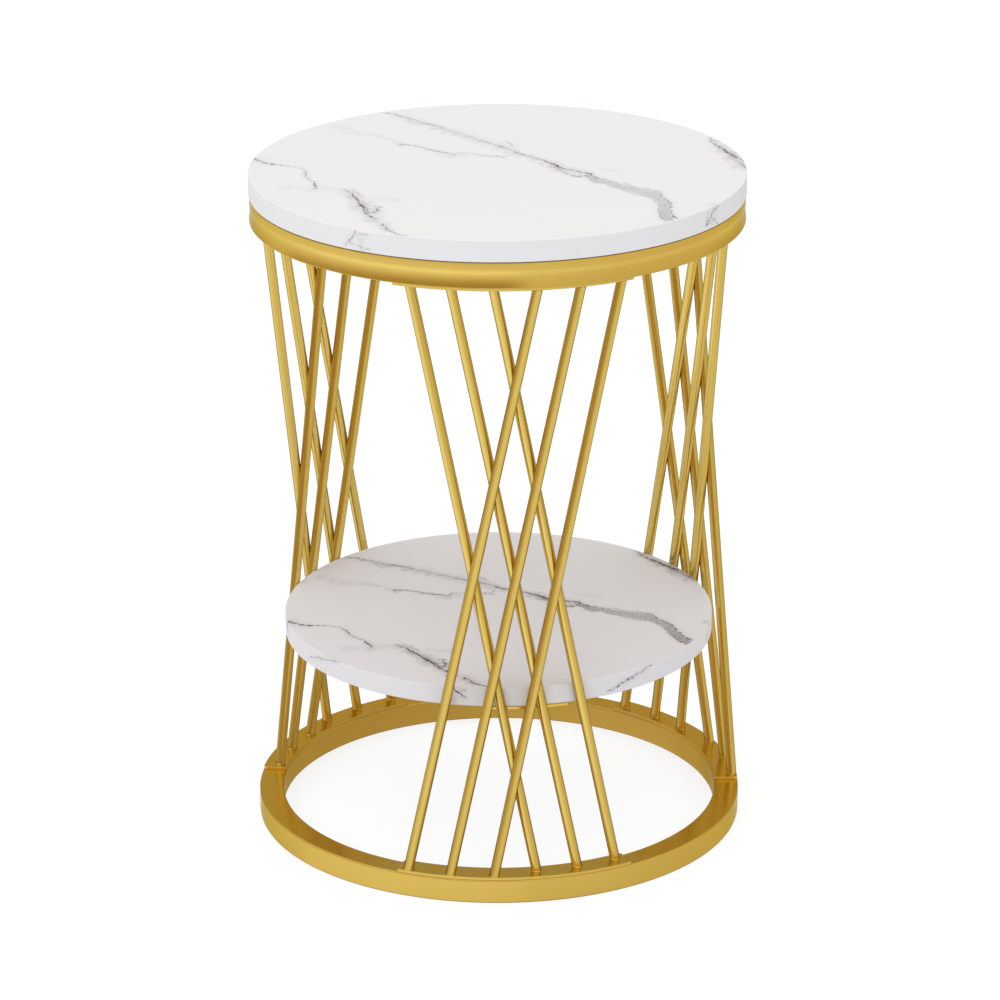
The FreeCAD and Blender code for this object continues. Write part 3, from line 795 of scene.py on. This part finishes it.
def round_board(name, low, high, turn, edge_rows, strength, ground_and_shade_tones, gap=0.0):
    """Round board with crisp softened edges: laminate above and round it, backing below.

    The gap is the height of a rebate round the underside, open to the side.
    """
    radius = high.x
    seat_radius = radius - rebate_depth if gap else radius
    profile = [(0, low.z), (seat_radius, low.z), (seat_radius, low.z + gap),
               (radius, low.z + gap), (radius, high.z), (0, high.z)]
    bm = lathe(profile, hoop_steps)
    rims = [edge for edge in bm.edges
            if edge.calc_face_angle(0) > math.radians(square_angle)
            and edge.verts[0].co.xy.length > radius - rim_margin]
    bmesh.ops.bevel(bm, geom=rims, affect="EDGES", offset=board_edge, offset_type="OFFSET",
                    segments=3, profile=0.5, material=-1)
    laminate = marble_laminate(name + "_laminate", radius, high.z, turn, edge_rows, strength,
                               ground_and_shade_tones)
    board = fit(name, bm, laminate, "marble_laminate", name + "_board")
    board.data.materials.append(backing)
    for face in board.data.polygons:
        if face.normal.z < faces_down:
            face.material_index = 1


round_board("shelf", shelf_low, shelf_high, shelf_print_turn, shelf_edge_rows,
            shelf_print_strength, shelf_shaded_grounds)


# ---------------------------------------------------------------- shelf screws
# Six zinc-plated pan-head wood screws with a cross recess in the head. Two are driven up
# through each strip into the shelf, and hold it down.

shelf_screw_diameter = 3.5 * mm
shelf_screw_length = 14 * mm
shelf_screw_head = 7 * mm
shelf_screw_spread = 22 * mm
screw_pitch = 1.4 * mm
recess_span = 3.6 * mm
recess_slot = 0.9 * mm
recess_depth = 1.4 * mm
shelf_screw_twist = 30


def wood_screw(head_outline, neck, diameter, length):
    """Screw that points up: head with a cross recess, threaded shank from its neck, tip."""
    bm = lathe(head_outline, peg_steps)
    for span, width in ((recess_span, recess_slot), (recess_slot, recess_span)):
        slot = bmesh.new()
        size = Matrix.Diagonal((span, width, 2 * recess_depth, 1))
        middle = Matrix.Translation((0, 0, head_outline[0][1]))
        bmesh.ops.create_cube(slot, size=1, matrix=middle @ size)
        cut(bm, slot)
    tip = length - diameter
    ridge = 0.15 * diameter
    join(bm, thread(diameter, neck, tip, screw_pitch, ridge))
    join(bm, lathe([(0, tip), (diameter / 2 - ridge, tip), (0, length)], thread_steps))
    return bm


strip_middle = strip_outer - strip_width / 2
strip_centre_turn = (strip_start + strip_end) / 2
shelf_screw_step = math.degrees(shelf_screw_spread / strip_middle)
dome = -0.3 * shelf_screw_head
rim = shelf_screw_head / 2
pan_head = [(0, dome), (0.45 * rim, 0.97 * dome), (0.75 * rim, 0.82 * dome),
            (0.93 * rim, 0.55 * dome), (rim, 0.2 * dome), (0.98 * rim, 0), (0, 0)]
screw = wood_screw(pan_head, 0, shelf_screw_diameter, shelf_screw_length)
screws = bmesh.new()
for panel_turn in panel_turns.values():
    for side in (-1, 1):
        turn = panel_turn + strip_centre_turn + side * shelf_screw_step
        join(screws, screw, spot(strip_middle, turn, strip_low),
             turn + shelf_screw_twist * side)
fit("shelf_fixings", screws, zinc, "zinc_steel", "shelf_screws")


# ---------------------------------------------------------------- top hoop
# Steel tube bent into a hoop. Its outer side is straight under the top, draws in to a
# shallow waist and flares out again to a crisp foot. Ground flush and plated.

hoop_corner = 0.6 * mm
waist_draw = 0.8 * mm
waist_rise = 10 * mm
shoulder_draw = 0.5 * mm
shoulder_rise = 15.5 * mm
outline_steps = 12

foot = Vector((top_high.x, top_low.z))
waist = Vector((top_high.x - waist_draw, top_low.z + waist_rise))
shoulder = Vector((top_high.x - shoulder_draw, top_low.z + shoulder_rise))
flare_middle = Vector((waist.x, (foot.y + waist.y) / 2))
draw_middle = (waist.y + shoulder.y) / 2
flare = interpolate_bezier(foot, foot.lerp(flare_middle, 2 / 3),
                           waist.lerp(flare_middle, 2 / 3), waist, outline_steps)
draw_in = interpolate_bezier(waist, Vector((waist.x, draw_middle)),
                             Vector((shoulder.x, draw_middle)), shoulder, outline_steps)
outline = [tuple(point) for point in flare + draw_in[1:]]
outline += [(shoulder.x, top_high.z), (top_high.x - hoop_width, top_high.z),
            (top_high.x - hoop_width, top_low.z)]
hoop = lathe(outline, hoop_steps)
soften(hoop, hoop_corner, 3)
fit("top_hoop", hoop, gold, "gold_steel", "top_ring")


# ---------------------------------------------------------------- top
# The same laminated board, larger and a little thicker, with a small rebate under its edge.
# It lies on the top hoop, and one long countersunk screw in each panel pulls it down.

top_screw_diameter = 4.5 * mm
top_screw_length = 36 * mm
top_screw_twist = 20
shadow_gap = 0.65 * mm
top_print_turn = 0
top_print_strength = 1
top_grounds = ((238, 238, 241), (240, 240, 242))
round_board("top", *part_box("top_board"), top_print_turn, top_edge_rows, top_print_strength,
            top_grounds, shadow_gap)
neck = (top_screw_head - top_screw_diameter) / 2
head_edge = 0.1 * mm
flat_head = [(0, 0), (top_screw_head / 2 - head_edge, 0), (top_screw_head / 2, head_edge),
             (top_screw_diameter / 2, neck), (0, neck)]
screw = wood_screw(flat_head, neck, top_screw_diameter, top_screw_length)
screws = bmesh.new()
for panel_turn in panel_turns.values():
    join(screws, screw, spot(hoop_middle, panel_turn, top_plate_bottom),
         panel_turn + top_screw_twist)
fit("top_fixings", screws, zinc, "zinc_steel", "top_screws")


# ---------------------------------------------------------------- floor, light and camera
# A white floor that keeps the table's soft shadow, in a white room with even soft light.
# The camera stands well back from the table and looks down on it at a low angle.

floor_radius = 9.0
floor_lit = (0.66, 0.66, 0.66, 1)
floor_seen = (0.24, 0.25, 0.26, 1)
floor_glow = 0.80
# The painted shadow that metal sees on the floor: how far it reaches, and its tones from the
# table's middle outwards.
floor_shadow_reach = 0.4
floor_gloss_painted_shadow = ((0.0, (0.54, 0.44, 0.32)), (0.44, (0.59, 0.50, 0.38)),
               (0.51, (0.82, 0.78, 0.65)), (0.70, (0.93, 0.92, 0.88)), (1.0, (1, 1, 1)))


def ramp_node(tree, value, stops):
    """Colour that runs through (place, (red, green, blue)) stops as a value rises."""
    node = add(tree, "ValToRGB", {"Fac": value})
    ramp = node.color_ramp
    for place, tone in stops[1:-1]:
        ramp.elements.new(place)
    for element, (place, tone) in zip(ramp.elements, stops):
        element.position = place
        element.color = (*tone, 1)
    return node.outputs["Color"]


def facing(tree, heading, direction, levels):
    """Value that runs from one level to another as a heading turns towards a direction."""
    turned = add(tree, "VectorMath", {0: heading, 1: direction}, operation="DOT_PRODUCT")
    reach = Vector(direction).length
    return spread(tree, turned.outputs["Value"], *levels, -reach, reach)


def inside(tree, heading, direction, edges):
    """Value that goes softly from 0 to 1 as a heading comes round to one side."""
    turned = add(tree, "VectorMath", {0: heading, 1: direction}, operation="DOT_PRODUCT")
    return add(tree, "MapRange", {"Value": turned.outputs["Value"], "From Min": edges[0],
                                  "From Max": edges[1]},
               interpolation_type="SMOOTHSTEP").outputs["Result"]


floor_mesh = bmesh.new()
bmesh.ops.create_circle(floor_mesh, cap_ends=True, segments=64, radius=floor_radius)
floor_data = bpy.data.meshes.new("floor")
floor_mesh.to_mesh(floor_data)
floor = bpy.data.objects.new("floor", floor_data)
scene.collection.objects.link(floor)
white_floor_painted_shadow, tree, shader, where = new_material("white_floor_painted_shadow")
rays = add(tree, "LightPath", {})
seen = rays.outputs["Is Camera Ray"]
tree.links.new(two_tone(tree, seen, floor_lit, floor_seen), shader.inputs["Base Color"])
shader.inputs["Roughness"].default_value = 0.9
shader.inputs["Specular IOR Level"].default_value = 0
glow = add(tree, "Emission", {"Color": (1, 1, 1, 1),
                              "Strength": maths(tree, "MULTIPLY", seen, floor_glow)})
both = add(tree, "AddShader", {0: shader.outputs[0], 1: glow.outputs[0]})
# Metal sees the room's gloss through the floor, with a painted shadow and painted warm
# bounce light of the table on it: dimmed and warmed close to the table.
reach = add(tree, "VectorMath", {0: where}, operation="LENGTH").outputs["Value"]
shadow = ramp_node(tree, maths(tree, "DIVIDE", reach, floor_shadow_reach), floor_gloss_painted_shadow)
painted_shadow_veil = add(tree, "BsdfTransparent", {"Color": shadow})
surface = add(tree, "MixShader", {0: rays.outputs["Is Glossy Ray"], 1: both.outputs[0],
                                  2: painted_shadow_veil.outputs[0]})
tree.links.new(surface.outputs[0], tree.nodes["Material Output"].inputs["Surface"])
floor_data.materials.append(white_floor_painted_shadow)

# Soft light: brightest high up at the front left, and evenly less towards the back right.
# What metal sees of the room is set apart from that, by height from straight down at 0 to
# straight up at 1: a bright band below the middle, and a dimmer wall above it on the left
# and behind. Its dim parts are warm, and it fades a little towards the back right.
key_direction = (-0.38, -0.40, 0.95)
key_levels = (0.2965, 1.3035)
bright_side = (-0.866, -0.5, 0)
side_levels = (0.84, 0.99)
screen_side = (-0.766, -0.643, 0)
screen_edges = (0.41, 0.59)
back_side = (0, 1, 0)
back_edges = (0.2, 0.75)
open_gloss = ((0.0, 0.50), (0.065, 0.56), (0.145, 0.72), (0.215, 0.92), (0.26, 0.97),
              (0.30, 0.93), (0.36, 0.82), (0.40, 0.79), (0.46, 0.77), (0.52, 0.72),
              (0.62, 0.76), (0.70, 0.78), (0.8, 0.80), (0.9, 0.85), (1.0, 0.90))
screen_gloss = ((0.0, 0.50), (0.065, 0.56), (0.145, 0.72), (0.215, 0.98), (0.26, 1.10),
                (0.30, 1.00), (0.36, 0.85), (0.40, 0.64), (0.44, 0.46), (0.48, 0.38),
                (0.55, 0.40), (0.62, 0.60), (0.70, 0.76), (0.8, 0.80), (0.9, 0.85), (1.0, 0.90))
back_gloss = ((0.0, 0.36), (0.10, 0.34), (0.17, 0.38), (0.25, 0.80), (0.30, 1.04),
              (0.335, 1.02), (0.37, 0.84), (0.44, 0.58), (0.52, 0.46), (0.60, 0.46),
              (0.70, 0.56), (0.8, 0.62), (1.0, 0.80))
wall_tones = ((0.18, (1, 0.58, 0.20)), (0.42, (1, 0.72, 0.36)), (0.50, (1, 0.80, 0.47)),
              (0.62, (1, 0.87, 0.60)), (0.72, (1, 0.92, 0.72)), (0.82, (1, 0.97, 0.84)),
              (0.92, (1, 1, 1)))
room = bpy.data.worlds.new("white_room")
scene.world = room
room.use_nodes = True
tree = room.node_tree
sky = tree.nodes["Background"]
rays = add(tree, "LightPath", {})
heading = add(tree, "TexCoord", {}).outputs["Generated"]
soft_light = facing(tree, heading, key_direction, key_levels)
height = add(tree, "SeparateXYZ", {"Vector": heading}).outputs["Z"]
height = spread(tree, height, 0, 1, -1)
outward = add(tree, "VectorMath", {0: heading, 1: (1, 1, 0)}, operation="MULTIPLY").outputs[0]
outward = add(tree, "VectorMath", {0: outward}, operation="NORMALIZE").outputs[0]
gloss = curve_node(tree, height, open_gloss)
for side, edges, part_gloss in ((screen_side, screen_edges, screen_gloss),
                                (back_side, back_edges, back_gloss)):
    gloss = add(tree, "Mix", {0: inside(tree, outward, side, edges), 2: gloss,
                              3: curve_node(tree, height, part_gloss)}).outputs[0]
gloss = maths(tree, "MULTIPLY", gloss, facing(tree, outward, bright_side, side_levels))
seen_light = add(tree, "VectorMath", {0: ramp_node(tree, gloss, wall_tones), "Scale": gloss},
                 operation="SCALE").outputs[0]
level = two_tone(tree, rays.outputs["Is Glossy Ray"], soft_light, seen_light)
level = two_tone(tree, rays.outputs["Is Camera Ray"], level, (1, 1, 1, 1))
tree.links.new(level, sky.inputs["Color"])

camera_place = Vector((0, -3.48995, 1.54732))
camera_down = 20.0865
camera_right = 0.023
camera_tilt = -0.132
camera_lens = 162.45
camera_data = bpy.data.cameras.new("camera")
camera_data.lens = camera_lens
camera_data.sensor_width = 36
camera = bpy.data.objects.new("camera", camera_data)
scene.collection.objects.link(camera)
camera.matrix_world = (Matrix.Translation(camera_place)
                       @ Matrix.Rotation(math.radians(-camera_right), 4, "Z")
                       @ Matrix.Rotation(math.radians(90 - camera_down), 4, "X")
                       @ Matrix.Rotation(math.radians(camera_tilt), 4, "Z"))
scene.camera = camera
scene.view_settings.view_transform = "Standard"
